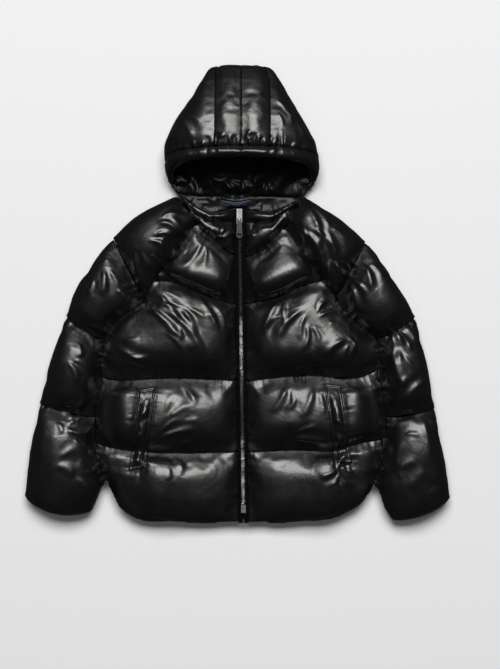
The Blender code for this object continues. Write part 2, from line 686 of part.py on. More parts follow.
def hood_grid(rows, setback):
    """The outer face of some arches, and the inner face one wall further in, set back by a share of the wall."""
    outer, inner = [], []
    for row, share in zip(rows, setback):
        shares = arch_shares(row)
        right_x, right_y, left_x, left_y, middle_y, height = row
        back = HOOD_WALL * share
        within = max(height - HOOD_WALL, HOOD_FLOOR + GAP)
        outer.append(arch(row, shares))
        inner_row = (right_x + HOOD_WALL, right_y - back, left_x - HOOD_WALL, left_y - back, middle_y - back, within)
        inner.append(arch(inner_row, shares))
    return np.array(outer), np.array(inner)


def make_hood():
    edges = []
    for side in ("right", "left"):
        edges.append(curve([(x, y, HOOD_BACK_EDGE) for x, y in HOOD_OUTLINE[side]], HOOD_BACK_ROWS))
    south = curve([(x, y, SEAM_UNDER) for x, y in HOOD_SEAM], BACK_COLUMNS)
    north = curve([(x, y, HOOD_BACK_EDGE) for x, y in HOOD_CROWN], BACK_COLUMNS)
    grid = draw_in(coons(south, north, *edges), (GAP / 2, 0), (0, 0))
    dome = swell(even(HOOD_BACK_ROWS))[:, None] * swell(even(BACK_COLUMNS))[None, :]
    under = np.maximum(grid[..., 2] - HOOD_BACK_DROP * dome, 0.0)
    slab("hood_back", with_height(grid, under), with_height(grid, HOOD_FLOOR), flat=True)

    outer, inner = hood_grid(HOOD_ARCHES, np.linspace(1.0, 0.0, len(HOOD_ARCHES)))
    inner[0, :, 2] = HOOD_FLOOR + GAP
    column = 0
    last = sum(HOOD_STRIP_COLUMNS)
    for name, columns in zip(HOOD_STRIPS, HOOD_STRIP_COLUMNS):
        cut = slice(column, column + columns + 1)
        puff = HOOD_PUFF * np.sin(np.pi * even(columns + 1))[None, :]
        face = outer[:, cut].copy()
        face[..., 2] += puff * swell(even(len(HOOD_ARCHES)))[:, None]
        gaps = (GAP / 2 if column else 0, GAP / 2 if column + columns < last else 0)
        column += columns
        slab(name, draw_in(face, (0, GAP), gaps), draw_in(inner[:, cut], (0, GAP), gaps))

    outer, inner = hood_grid(BRIM_ARCHES, np.zeros(len(BRIM_ARCHES)))
    slab("hood_brim", draw_in(outer, (GAP / 2, 0), (0, 0)), draw_in(inner, (GAP / 2, 0), (0, 0)))


# ------------------------------------------------------------------ trims


def front_surface():
    """The top of the front layer, for what lies on it."""
    points, faces = [], []
    for piece in bpy.context.collection.objects:
        if piece.name.startswith("front_"):
            start = len(points)
            points += [vertex.co.copy() for vertex in piece.data.vertices]
            faces += [[start + i for i in face.vertices] for face in piece.data.polygons]
    return BVHTree.FromPolygons(points, faces)


def height_on(tree, x, y):
    hit = tree.ray_cast(Vector((x, y, 1.0)), Vector((0, 0, -1)))[0]
    return hit.z if hit else SEAM_TOP


def make_welts():
    tree = front_surface()
    for side, corners in WELTS.items():
        a, b, c, d = (np.array(corner) for corner in corners)
        u = even(WELT_COLUMNS)[None, :, None]
        v = even(WELT_ROWS)[:, None, None]
        plan = (1 - v) * ((1 - u) * a + u * b) + v * ((1 - u) * d + u * c)
        bed = np.array([[height_on(tree, x, y) for x, y in row] for row in plan])
        # The welt is stiffer than the panel, so it bridges the seam that it crosses.
        for _ in range(WELT_BRIDGING):
            bed[1:-1] = np.maximum(bed[1:-1], (bed[:-2] + bed[2:]) / 2)
        plan = np.dstack([plan, bed + WELT_CLEAR])
        crown = WELT_EDGE + (WELT_THICK - WELT_EDGE) * np.sin(np.pi * even(WELT_COLUMNS))[None, :]
        slab(f"pocket_welt_{side}", with_height(plan, plan[..., 2] + crown), plan)


def make_label():
    """A plain woven label on the inside of the back collar."""
    u = np.linspace(-1, 1, 9)
    sag = LABEL_SAG * u**2
    upper = np.column_stack([LABEL_X + LABEL_HALF * u, LABEL_Y + sag])
    lower = np.column_stack([LABEL_X + LABEL_HALF * 0.94 * u, LABEL_Y - LABEL_DEEP * (1 - 0.5 * u**2) + sag])
    plan = np.stack([lower, (lower + upper) / 2, upper])
    plan = np.dstack([plan, np.zeros(plan.shape[:2])])
    bed = HOOD_FLOOR + GAP
    slab("neck_label", with_height(plan, bed + LABEL_THICK), with_height(plan, bed), "label_navy")


def zip_strip(name, from_x, to_x, top_y, bottom_y, low, high, material):
    """A flat strip along the zip, between two distances from its middle."""
    rows = np.linspace(bottom_y, top_y, ZIP_ROWS)
    plan = np.array([[(zip_x(y) + from_x, y, 0.0), (zip_x(y) + to_x, y, 0.0)] for y in rows])
    slab(name, with_height(plan, high), with_height(plan, low), material)


def make_zip():
    for side in ("right", "left"):
        out = side_of(side)
        zip_strip(f"zip_tape_{side}", out * (TEETH_HALF + GAP), out * TAPE_HALF,
                  ZIP_TOP, TAPE_END, ZIP_BED, TAPE_TOP, "zip_tape_black")
        zip_strip(f"zip_teeth_{side}", out * GAP / 2, out * TEETH_HALF,
                  TEETH_START, TEETH_END, TEETH_LOW, TEETH_HIGH, "zip_metal")
    outline = [
        (-BOX_HALF, 0.0), (BOX_HALF, 0.0), (BOX_HALF, BOX_LENGTH - BOX_CORNER), (BOX_HALF - BOX_CORNER, BOX_LENGTH),
        (BOX_CORNER - BOX_HALF, BOX_LENGTH), (-BOX_HALF, BOX_LENGTH - BOX_CORNER),
    ]
    middle = zip_x(ZIP_BOTTOM + BOX_LENGTH / 2)
    box = plate("zip_box", [(middle + x, ZIP_BOTTOM + y) for x, y in outline], BOX_LOW, BOX_HIGH, "zip_metal")
    cut_for_tapes(box, middle, ZIP_BOTTOM - 0.001, ZIP_BOTTOM + BOX_LENGTH + 0.001)


def cut_for_tapes(piece, middle, low_y, high_y):
    """Grooves for the two tapes in the sides of a piece that closes round the teeth."""
    for side in ("right", "left"):
        inner = middle + side_of(side) * (TEETH_HALF - GAP)
        outer = middle + side_of(side) * TAPE_HALF
        outline = [(inner, low_y), (outer, low_y), (outer, high_y), (inner, high_y)]
        cutter = plate(f"{piece.name}_groove_{side}", outline, ZIP_BED - GAP, TAPE_TOP + GAP, "zip_metal")
        combine(piece, cutter, "DIFFERENCE")


# Slider: plates above and below the teeth, a post between them, and a bail that holds the pull tab.
SLIDER_HALF, SLIDER_AHEAD, SLIDER_BEHIND = 0.0047, 0.0180, 0.0080
SLIDER_LOW = ZIP_BED - 0.0032
SLIDER_PLATE_UNDER = ZIP_BED + 0.0032
SLIDER_PLATE_TOP = ZIP_BED + 0.0050
SLIDER_SHOE, SLIDER_POST = 0.0016, 0.0103
PIVOT_Z = SLIDER_PLATE_TOP + 0.0017
BAIL_HALF, BAIL_BAR, BAIL_CORNER, BAIL_FOOT = 0.0012, 0.0015, 0.0008, 0.0008
BAIL_INSIDE_Y, BAIL_INSIDE_Z = 0.0021, 0.0016
# Pull tab: half thickness, length, half widths at the bail and the end, rounding steps, and its two holes.
PULL_HALF_THICK, PULL_LENGTH = 0.0008, 0.0330
PULL_HALF_TOP, PULL_HALF_END = 0.0036, 0.0052
PULL_ROUNDING = 7
PULL_HOLES = {"eye": (0.0020, -0.0008, -0.0054), "slot": (0.0034, -0.0250, -0.0284)}


def make_slider():
    y = PULL_PIVOT_Y
    front, back = y - SLIDER_BEHIND, y + SLIDER_AHEAD
    profile = [
        (front, SLIDER_LOW), (back, SLIDER_LOW), (back, SLIDER_PLATE_TOP), (front, SLIDER_PLATE_TOP),
        (front, SLIDER_PLATE_UNDER), (y + SLIDER_POST, SLIDER_PLATE_UNDER),
        (y + SLIDER_POST, SLIDER_LOW + SLIDER_SHOE), (front, SLIDER_LOW + SLIDER_SHOE),
    ]
    slider = side_plate("zip_slider", profile, SLIDER_HALF, "zip_metal")
    cut_for_tapes(slider, ZIP_X, front - 0.001, back + 0.001)
    reach = BAIL_INSIDE_Y + BAIL_BAR
    foot = SLIDER_PLATE_TOP - BAIL_FOOT
    inside = PIVOT_Z + BAIL_INSIDE_Z
    top = inside + BAIL_BAR
    outline = [
        (y - reach, foot), (y - reach, top - BAIL_CORNER), (y - reach + BAIL_CORNER, top),
        (y + reach - BAIL_CORNER, top), (y + reach, top - BAIL_CORNER), (y + reach, foot),
        (y + BAIL_INSIDE_Y, foot), (y + BAIL_INSIDE_Y, inside), (y - BAIL_INSIDE_Y, inside),
        (y - BAIL_INSIDE_Y, foot),
    ]
    combine(slider, side_plate("slider_bail", outline, BAIL_HALF, "zip_metal"), "UNION")


def make_pull():
    """The pull tab: a bar in the bail, an eye round its leg, and a plate that widens to a rounded, slotted end."""
    turn = np.linspace(0, np.pi, PULL_ROUNDING)
    end = PULL_HALF_END - PULL_LENGTH
    outline = [(PULL_HALF_TOP, PULL_HALF_THICK), (-PULL_HALF_TOP, PULL_HALF_THICK)]
    outline += [(-PULL_HALF_END * np.cos(a), end - PULL_HALF_END * np.sin(a)) for a in turn]
    placed = [(ZIP_X + x, PULL_PIVOT_Y + y) for x, y in outline]
    low, high = PIVOT_Z - PULL_HALF_THICK, PIVOT_Z + PULL_HALF_THICK
    pull = plate("zip_pull", placed, low, high, "zip_metal")
    for name, (half, upper, lower) in PULL_HOLES.items():
        hole = [(-half, lower), (half, lower), (half, upper), (-half, upper)]
        placed = [(ZIP_X + x, PULL_PIVOT_Y + y) for x, y in hole]
        combine(pull, plate(f"pull_{name}_cut", placed, low - 0.001, high + 0.001, "zip_metal"), "DIFFERENCE")


# ------------------------------------------------------------------ build


def build():
    for leftover in list(bpy.data.objects):
        bpy.data.objects.remove(leftover, do_unlink=True)
    finish("coated_black", (0.012, 0.012, 0.013), 0.28)
    finish("zip_tape_black", (0.010, 0.010, 0.011), 0.80)
    finish("zip_metal", (0.32, 0.31, 0.30), 0.32, 1.0)
    finish("label_navy", (0.010, 0.020, 0.070), 0.70)
    for side in ("right", "left"):
        make_front(side)
        make_sleeve(side)
    make_back()
    make_collar()
    make_hood()
    make_welts()
    make_label()
    make_zip()
    make_slider()
    make_pull()


build()
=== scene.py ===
"""Looks of the hooded puffer jacket, laid flat on its back and seen from straight above."""

import math
from collections import namedtuple

import bmesh
import bpy
import numpy as np
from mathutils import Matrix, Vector, noise
from mathutils.bvhtree import BVHTree


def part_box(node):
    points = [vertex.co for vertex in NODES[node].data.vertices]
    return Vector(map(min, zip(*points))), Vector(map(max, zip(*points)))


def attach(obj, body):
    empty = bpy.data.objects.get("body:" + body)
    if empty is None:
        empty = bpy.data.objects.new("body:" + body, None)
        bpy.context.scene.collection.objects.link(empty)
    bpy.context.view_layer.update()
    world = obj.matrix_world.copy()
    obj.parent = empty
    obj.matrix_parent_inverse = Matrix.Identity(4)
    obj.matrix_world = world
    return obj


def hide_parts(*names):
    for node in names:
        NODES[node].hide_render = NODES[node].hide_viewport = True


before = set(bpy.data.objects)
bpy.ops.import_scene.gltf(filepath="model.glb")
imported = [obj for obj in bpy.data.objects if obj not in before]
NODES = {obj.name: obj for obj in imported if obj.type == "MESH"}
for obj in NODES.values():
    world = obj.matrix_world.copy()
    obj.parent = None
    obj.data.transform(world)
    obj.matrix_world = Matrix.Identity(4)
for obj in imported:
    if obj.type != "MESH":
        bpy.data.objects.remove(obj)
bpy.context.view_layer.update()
SCENE = bpy.context.scene

# Camera: straight above, with this much of the surface across the picture's height.
PICTURE_HIGH = 1.1705
CAMERA_ABOVE = 3.2
CAMERA_X, CAMERA_Y = 0.0219, -0.0709

# Padded channels, by what their name starts with: the remesh's voxel, the extra cloth, the pressure, the
# furthest that a point may move, the fill, and the gathers at the seams: height, reach and spacing.
Padding = namedtuple("Padding", "starts voxel extra pressure cap fill height reach spacing")
PADS = [
    Padding("front_", 0.0042, 0.010, 5.0, 0.012, 0.8, 0.0013, 0.014, 0.012),
    Padding("sleeve_", 0.0045, 0.010, 5.0, 0.012, 0.8, 0.0016, 0.016, 0.012),
    Padding("collar_back", 0.0036, 0.030, 3.0, 0.006, 0.7, 0.0016, 0.014, 0.010),
    Padding("collar_", 0.0034, 0.030, 3.0, 0.008, 0.7, 0.0014, 0.012, 0.009),
    Padding("back_", 0.0055, 0.030, 3.0, 0.008, 0.7, 0.0020, 0.022, 0.012),
    Padding("hood_back", 0.0040, 0.060, 2.0, 0.012, 0.5, 0.0030, 0.024, 0.012),
    Padding("hood_brim", 0.0036, 0.015, 3.0, 0.006, 0.7, 0.0012, 0.010, 0.009),
    Padding("hood_", 0.0036, 0.010, 3.0, 0.006, 0.6, 0.0026, 0.014, 0.010),
]
HOOD_STRIPS = ("hood_side_right", "hood_centre_right", "hood_centre_left", "hood_side_left")
PAINTED_SHADE_PADS = ("hood_back", "collar_back")   # painted shade: these take a less shiny copy of the cloth, to darken the hood's hollow and the back collar as if shaded
PIN_WITHIN = 0.0022     # a point this near a neighbour is held while its channel is blown up
FLOOR_PIN = 0.0030      # and so is one this near the surface below
SIM_FRAMES = 18
EASE_ROUNDS = 6

# What a channel is sewn to is all that is near it, without the pieces that lie above or below it.
LIES_WITH = {
    "front_": ("back_",),
    "sleeve_": ("zip",),
    "collar_": ("back_", "hood_back"),
    "back_": ("front_", "collar_"),
}

# Seams: the gap left on each side, and how near a point has to be to be drawn to its seam, fully or partly.
SEAM_GAP = 0.0002
MEET_FULL, MEET_REACH = 0.0035, 0.0085
# The same for a sleeve's side, drawn in against the body where it is steep: its normal's z falls below the
# first value, and by the second more it is steep all the way.
TUCK_FULL, TUCK_REACH = 0.0080, 0.0140
STEEP_BELOW, STEEP_OVER = 0.80, 0.40

# Gathers: how far from a seam they start, and the seam's groove next to their height.
SEAM_PLAIN, SEAM_GROOVE = 0.0040, 0.7
GATHER_FAR = 3.5        # nothing is left of them this many times their reach away
GATHER_UPWARD = 0.4     # how much they change with height, next to along the surface
GATHER_SLOW = 0.33      # how slowly their length and height change, next to their spacing
GATHER_SHORT, GATHER_VARIES = 0.75, 0.8   # their length: at least, and what varies
GATHER_FINE, GATHER_FINER = 0.7, 2.3      # smaller ones between them: depth, and how much closer
SIDE_GATHER, SIDE_BELOW = 0.2, 0.45       # weaker where the sides are steep: how weak, from what normal's z
STRIP_GATHER = 0.10     # where two strips of the hood meet, next to those at its brim
WELT_GATHER = 0.8       # reach and spacing round a pocket's welt, next to those at a seam
UNEVEN_HIGH, UNEVEN_SCALE = 0.0006, 22.0  # the slow unevenness of all padding

# Creases, one by one: start x, y, end x, y, half width, height, and the share of its length that it bows.
CREASES = [
    # Broad swells, where a channel is fullest.
    (-0.225, -0.092, -0.010, -0.100, 0.0300, 0.0045, -0.03),
    (0.018, -0.100, 0.240, -0.092, 0.0300, 0.0045, -0.03),
    (-0.235, -0.228, -0.010, -0.230, 0.0220, 0.0012, 0.00),
    (0.018, -0.230, 0.235, -0.228, 0.0220, 0.0012, 0.00),
    (-0.192, -0.262, -0.192, -0.150, 0.0220, 0.0060, 0.00),
    (0.204, -0.150, 0.204, -0.262, 0.0220, 0.0060, 0.00),
    (-0.135, -0.405, -0.135, -0.270, 0.0280, 0.0070, 0.00),
    (0.155, -0.270, 0.155, -0.405, 0.0280, 0.0070, 0.00),
    (-0.125, 0.050, -0.010, 0.008, 0.0230, 0.0085, 0.00),
    (0.020, 0.006, 0.130, 0.046, 0.0230, 0.0085, 0.00),
    # Chest, wearer's right.
    (-0.160, -0.019, -0.092, -0.093, 0.0059, 0.0026, 0.08),
    (-0.143, -0.021, -0.057, -0.110, 0.0053, 0.0023, 0.12),
    (-0.141, 0.002, -0.100, -0.046, 0.0046, 0.0020, 0.05),
    (-0.092, -0.028, -0.071, -0.072, 0.0050, 0.0020, 0.04),
    (-0.064, -0.007, -0.036, -0.060, 0.0046, 0.0020, 0.06),
    (-0.041, -0.016, -0.015, -0.060, 0.0036, 0.0013, 0.05),
    (-0.218, -0.086, -0.158, -0.117, 0.0053, 0.0023, -0.05),
    (-0.190, -0.116, -0.139, -0.137, 0.0040, 0.0017, -0.05),
    # Chest, wearer's left.
    (0.074, -0.007, 0.043, -0.072, 0.0053, 0.0023, -0.06),
    (0.109, -0.028, 0.066, -0.081, 0.0059, 0.0023, -0.08),
    (0.120, -0.054, 0.113, -0.098, 0.0046, 0.0020, 0.10),
    (0.141, -0.040, 0.175, -0.030, 0.0046, 0.0020, 0.10),
    (0.185, -0.079, 0.148, -0.112, 0.0053, 0.0023, -0.10),
    (0.171, -0.128, 0.125, -0.132, 0.0046, 0.0020, 0.14),
    (0.222, -0.066, 0.190, -0.112, 0.0050, 0.0020, -0.06),
    # Yokes and shoulders.
    (-0.136, 0.121, -0.100, 0.100, 0.0053, 0.0023, 0.20),
    (-0.118, 0.133, -0.092, 0.092, 0.0050, 0.0023, 0.15),
    (-0.150, 0.091, -0.118, 0.063, 0.0053, 0.0026, 0.20),
    (-0.175, 0.070, -0.160, 0.010, 0.0050, 0.0020, -0.10),
    (-0.060, 0.090, -0.096, 0.040, 0.0050, 0.0017, 0.05),
    (0.087, 0.112, 0.112, 0.060, 0.0046, 0.0020, 0.05),
    (0.120, 0.150, 0.139, 0.072, 0.0050, 0.0023, 0.12),
    (0.150, 0.110, 0.168, 0.060, 0.0053, 0.0020, 0.10),
    (0.162, 0.056, 0.172, 0.000, 0.0050, 0.0026, 0.20),
    (0.218, 0.050, 0.229, 0.004, 0.0050, 0.0023, 0.10),
    (0.190, 0.020, 0.204, -0.030, 0.0046, 0.0020, 0.08),
    (-0.124, 0.052, -0.088, 0.092, 0.0055, 0.0030, 0.12),
    (0.116, 0.108, 0.150, 0.035, 0.0055, 0.0030, 0.10),
    (0.159, 0.056, 0.176, -0.003, 0.0050, 0.0030, -0.12),
    # Sleeves.
    (0.184, -0.046, 0.227, -0.088, 0.0050, 0.0028, 0.10),
    (0.268, -0.066, 0.262, -0.116, 0.0060, 0.0032, 0.10),
    (-0.230, 0.042, -0.231, -0.006, 0.0050, 0.0023, 0.06),
    (-0.206, 0.006, -0.190, -0.014, 0.0050, 0.0024, 0.10),
    (-0.267, -0.060, -0.244, -0.102, 0.0053, 0.0026, 0.12),
    (-0.290, -0.118, -0.274, -0.154, 0.0050, 0.0020, 0.10),
    (-0.308, -0.201, -0.282, -0.223, 0.0050, 0.0024, 0.10),
    (-0.290, -0.214, -0.250, -0.222, 0.0050, 0.0026, 0.08),
    (-0.294, -0.234, -0.253, -0.240, 0.0050, 0.0022, -0.08),
    (-0.311, -0.296, -0.280, -0.312, 0.0080, 0.0020, 0.10),
    (-0.276, -0.318, -0.252, -0.348, 0.0070, 0.0018, 0.10),
    (0.263, -0.090, 0.294, -0.058, 0.0053, 0.0023, 0.10),
    (0.270, -0.098, 0.284, -0.160, 0.0050, 0.0023, -0.06),
    (0.284, -0.187, 0.330, -0.148, 0.0053, 0.0020, 0.08),
    (0.266, -0.232, 0.309, -0.218, 0.0050, 0.0022, 0.08),
    (0.277, -0.301, 0.309, -0.290, 0.0075, 0.0016, 0.10),
    (0.296, -0.335, 0.326, -0.305, 0.0090, 0.0016, 0.10),
    (0.318, -0.214, 0.330, -0.290, 0.0066, 0.0017, 0.05),
    # Waist and hem.
    (-0.131, -0.248, -0.074, -0.235, 0.0046, 0.0020, 0.05),
    (-0.100, -0.152, -0.070, -0.190, 0.0050, 0.0020, 0.05),
    (-0.118, -0.215, -0.080, -0.190, 0.0059, 0.0013, 0.04),
    (-0.155, -0.285, -0.112, -0.281, 0.0040, 0.0020, 0.12),
    (-0.110, -0.281, -0.094, -0.312, 0.0050, 0.0017, 0.10),
    (0.172, -0.303, 0.192, -0.268, 0.0040, 0.0026, 0.05),
    (0.172, -0.303, 0.193, -0.332, 0.0040, 0.0020, -0.05),
    (0.172, -0.303, 0.142, -0.316, 0.0040, 0.0020, 0.08),
    (0.096, -0.250, 0.158, -0.262, 0.0050, 0.0020, 0.06),
    (0.085, -0.160, 0.060, -0.205, 0.0053, 0.0017, 0.06),
    (0.130, -0.165, 0.110, -0.215, 0.0059, 0.0017, 0.06),
    # Hood and collar.
    (0.084, 0.312, 0.116, 0.268, 0.0040, 0.0020, 0.08),
    (0.070, 0.330, 0.096, 0.290, 0.0036, 0.0017, 0.06),
    (-0.100, 0.300, -0.076, 0.262, 0.0050, 0.0013, 0.08),
    (-0.037, 0.256, -0.037, 0.236, 0.0030, -0.0008, 0.00),
    (0.007, 0.258, 0.007, 0.238, 0.0030, -0.0008, 0.00),
    (0.056, 0.256, 0.056, 0.236, 0.0030, -0.0008, 0.00),
    (-0.057, 0.123, -0.023, 0.120, 0.0030, 0.0018, 0.00),
    (-0.076, 0.154, -0.046, 0.135, 0.0030, 0.0018, 0.00),
    (0.017, 0.139, 0.063, 0.140, 0.0028, 0.0016, -0.06),
    (0.017, 0.120, 0.036, 0.118, 0.0028, 0.0018, 0.00),
    (0.013, 0.110, 0.030, 0.098, 0.0030, 0.0022, 0.00),
    (-0.024, 0.096, -0.006, 0.106, 0.0030, 0.0022, 0.00),
    (-0.047, 0.093, -0.019, 0.075, 0.0030, 0.0020, 0.00),
    (-0.022, 0.192, -0.008, 0.166, 0.0035, 0.0022, 0.15),
    (0.004, 0.196, 0.012, 0.168, 0.0035, 0.0024, -0.12),
    (0.030, 0.198, 0.022, 0.170, 0.0035, 0.0022, 0.20),
    (0.048, 0.194, 0.036, 0.172, 0.0035, 0.0020, 0.10),
    (-0.050, 0.196, -0.030, 0.172, 0.0035, 0.0018, -0.10),
    (-0.036, 0.170, 0.030, 0.168, 0.0050, 0.0023, -0.12),
]
CREASE_FROM, CREASE_FADE = 0.45, 0.012   # they start at this share of a channel's height, and are whole above
CREASE_ENDS, CREASE_END_LEAST = 3, 0.25  # how fast the ends fade, and what is left at them
CREASE_START, CREASE_WIDENS = 0.7, 0.6   # the width at the start, and what it gains by the end
TROUGH_DEEP, TROUGH_OUT, TROUGH_WIDE = 0.6, 2.0, 1.2   # the trough beside a ridge, next to the ridge's own
# A narrow crease's lesser ones: how far beside it they start and end, in its half widths, and from where to
# where along it.
LESSER = [(2.0, 5.6, 0.04, 0.60), (-3.4, -5.2, 0.40, 0.92)]
LESSER_HALF, LESSER_HEIGHT = 0.70, 0.50
NARROW = 0.012          # half the width that a crease may have to get them

# Puckers above the hood's brim: where across the hood, how far they lean over, how long, how high.
PUCKERS = [
    (-0.084, -0.006, 0.013, 0.0014), (-0.070, -0.005, 0.018, 0.0018), (-0.055, -0.004, 0.014, 0.0018),
    (-0.043, 0.002, 0.020, 0.0020), (-0.031, 0.007, 0.024, 0.0024), (-0.020, 0.003, 0.016, 0.0018),
    (-0.008, -0.005, 0.020, 0.0020), (0.001, 0.003, 0.017, 0.0016), (0.013, 0.010, 0.028, 0.0024),
    (0.024, -0.004, 0.017, 0.0020), (0.034, 0.005, 0.021, 0.0022), (0.045, 0.004, 0.015, 0.0018),
    (0.060, 0.007, 0.020, 0.0018), (0.074, 0.006, 0.014, 0.0014), (0.092, 0.010, 0.016, 0.0012),
]
PUCKER_HALF, PUCKER_BOW = 0.0030, 0.05
BRIM_MIDDLE_X, BRIM_DROP = 0.008, 1.3   # the brim's seam: its middle, and how it drops away from it

# Stitches: length, pitch, half the thickness, and how deep their edges sink.
STITCH_LONG, STITCH_APART, STITCH_HALF, STITCH_SUNK = 0.0024, 0.0034, 0.00028, 0.0003
BRIM_STITCH_DOWN = 0.0100   # from the brim's seam to its row of stitches
BRIM_STITCH_SIDE = 0.0120   # from the brim's sides
BRIM_STITCH_UP = 0.030      # from the brim's lowest point
BRIM_STITCH_ENDS = 0.04     # share of the row's half turn that is left out at each end
ZIP_STITCH_OUT = 0.0120     # from the zip's middle
ZIP_STITCH_UP, ZIP_STITCH_DOWN = 0.006, 0.055   # from the tape's foot, and from the yoke's top

# Zip: a tooth's pitch, its width along the zip, how far it passes the middle and how far out it starts.
TOOTH_PITCH, TOOTH_WIDE, TOOTH_PAST, TOOTH_FOOT = 0.0035, 0.0014, 0.0006, 0.0031
TOOTH_CHAMFER, TOOTH_UNEVEN, TOOTH_NOISE = 0.0004, 0.22, 700.0
# How the chain leans as it goes over the channels: share of the way down it, slope.
CHAIN_LEAN = [
    (0.00, 0.22), (0.33, 0.20), (0.38, -0.16), (0.55, -0.12), (0.61, 0.00),
    (0.67, 0.12), (0.74, 0.14), (0.78, -0.14), (1.00, -0.20),
]
TAPE_INNER, TAPE_THICK, TAPE_CUT_WIDE = 0.0012, 0.0009, 0.010
TAPE_ROWS, TAPE_COLUMNS, TAPE_RIPPLE = 140, 6, 0.00025
METAL_EDGE = 0.00035    # bevel of the slider, the pull and the box

LABEL_VOXEL, LABEL_EASE, LABEL_RIPPLE = 0.0009, 4, 0.0005

# Pocket welts: a soft middle between two rails, each with two rows of stitches.
WELT_RAIL, WELT_RAIL_HIGH = 0.0045, 0.0024
WELT_SOFT_HIGH, WELT_ROUGH, WELT_FILL = 0.0085, 0.0012, 0.4
WELT_ABOVE, WELT_SKIRT = 0.0008, 0.0012   # its top's height over the front, and how deep its skirt sinks
WELT_END = 0.012        # corners are looked for this near its ends
# How full the soft middle is on its way down: share of the way, fullness.
WELT_LIE = {
    "right": [
        (0.00, 0.1), (0.13, 0.1), (0.30, 1.0), (0.40, 0.4),
        (0.56, 1.0), (0.68, 0.4), (0.84, 0.9), (1.00, 0.2),
    ],
    "left": [
        (0.00, 0.1), (0.09, 0.1), (0.28, 0.8), (0.47, 1.0),
        (0.60, 0.3), (0.74, 0.8), (0.84, 0.4), (1.00, 0.3),
    ],
}
WELT_LEAN = 0.10        # how much further down the outer side of a fold lies
WELT_ACROSS, WELT_DOWN = 26, 110
WELT_BED_ROUNDS, WELT_LIE_ROUNDS = 10, 3  # smoothing of what it lies on, and of its folds
WELT_STITCH_INSETS = (0.0012, 0.0042)


# ------------------------------------------------------------------ materials


def nodes_of(material):
    tree = material.node_tree
    return tree, tree.nodes["Principled BSDF"]


def new_material(name, colour, roughness, metallic=0.0):
    material = bpy.data.materials.new(name)
    material.use_nodes = True
    tree, shader = nodes_of(material)
    shader.inputs["Base Color"].default_value = (*colour, 1.0)
    shader.inputs["Roughness"].default_value = roughness
    shader.inputs["Metallic"].default_value = metallic
    return material


def add_noise(tree, scale, detail, distortion=0.0):
    place = tree.nodes.new("ShaderNodeTexCoord")
    texture = tree.nodes.new("ShaderNodeTexNoise")
    texture.inputs["Scale"].default_value = scale
    texture.inputs["Detail"].default_value = detail
    texture.inputs["Distortion"].default_value = distortion
    tree.links.new(place.outputs["Object"], texture.inputs["Vector"])
    return texture.outputs["Fac"]


def ramp_of(tree, value, low, high):
    """The middle of a noise's range, spread from low to high."""
    spread = tree.nodes.new("ShaderNodeMapRange")
    spread.inputs["From Min"].default_value = 0.3
    spread.inputs["From Max"].default_value = 0.7
    spread.inputs["To Min"].default_value = low
    spread.inputs["To Max"].default_value = high
    tree.links.new(value, spread.inputs["Value"])
    return spread.outputs["Result"]


def bump_of(tree, height, distance, strength, before=None):
    bump = tree.nodes.new("ShaderNodeBump")
    bump.inputs["Distance"].default_value = distance
    bump.inputs["Strength"].default_value = strength
    tree.links.new(height, bump.inputs["Height"])
    if before is not None:
        tree.links.new(before, bump.inputs["Normal"])
    return bump.outputs["Normal"]


def coated_black(name, specular, coat):
    """Polyurethane-coated cloth: near black, wet-looking, with small creases in the coating."""
    roughness = 0.36
    material = new_material(name, (0.0030, 0.0030, 0.0031), roughness)
    tree, shader = nodes_of(material)
    shader.inputs["Specular IOR Level"].default_value = specular
    shader.inputs["Coat Weight"].default_value = coat
    shader.inputs["Coat Roughness"].default_value = 0.15
    smudges = add_noise(tree, scale=26.0, detail=4.0)
    smudged = ramp_of(tree, smudges, low=roughness - 0.05, high=roughness + 0.07)
    tree.links.new(smudged, shader.inputs["Roughness"])
    folds = add_noise(tree, scale=30.0, detail=2.0, distortion=1.2)
    wrinkles = add_noise(tree, scale=170.0, detail=3.0, distortion=0.4)
    broad = bump_of(tree, folds, distance=0.0022, strength=0.3)
    fine = bump_of(tree, wrinkles, distance=0.0004, strength=0.5, before=broad)
    tree.links.new(fine, shader.inputs["Normal"])
    tree.links.new(broad, shader.inputs["Coat Normal"])
    return material


def woven(name, colour, roughness, ribs, depth, specular):
    """A close woven cloth: fine ribs along the piece and a softer noise across them."""
    material = new_material(name, colour, roughness)
    tree, shader = nodes_of(material)
    shader.inputs["Specular IOR Level"].default_value = specular
    place = tree.nodes.new("ShaderNodeTexCoord")
    wave = tree.nodes.new("ShaderNodeTexWave")
    wave.inputs["Scale"].default_value = ribs
    wave.inputs["Distortion"].default_value = 1.5
    wave.inputs["Detail Scale"].default_value = 3.0
    tree.links.new(place.outputs["Object"], wave.inputs["Vector"])
    rib = bump_of(tree, wave.outputs["Fac"], distance=depth, strength=0.6)
    threads = add_noise(tree, scale=900.0, detail=2.0)
    thread = bump_of(tree, threads, distance=depth, strength=0.5, before=rib)
    tree.links.new(thread, shader.inputs["Normal"])
    return material


def metal(name, colour, roughness):
    material = new_material(name, colour, roughness, 1.0)
    tree, shader = nodes_of(material)
    wear = add_noise(tree, scale=240.0, detail=4.0)
    worn = ramp_of(tree, wear, low=roughness - 0.08, high=roughness + 0.10)
    tree.links.new(worn, shader.inputs["Roughness"])
    dents = bump_of(tree, add_noise(tree, scale=700.0, detail=2.0), distance=0.00006, strength=0.5)
    tree.links.new(dents, shader.inputs["Normal"])
    return material


def thread_black():
    material = new_material("thread_black", (0.012, 0.012, 0.012), 0.55)
    tree, shader = nodes_of(material)
    twist = bump_of(tree, add_noise(tree, scale=1500.0, detail=1.0), distance=0.0001, strength=0.5)
    tree.links.new(twist, shader.inputs["Normal"])
    return material


# ------------------------------------------------------------------ meshes


def link(obj):
    SCENE.collection.objects.link(obj)
    return obj


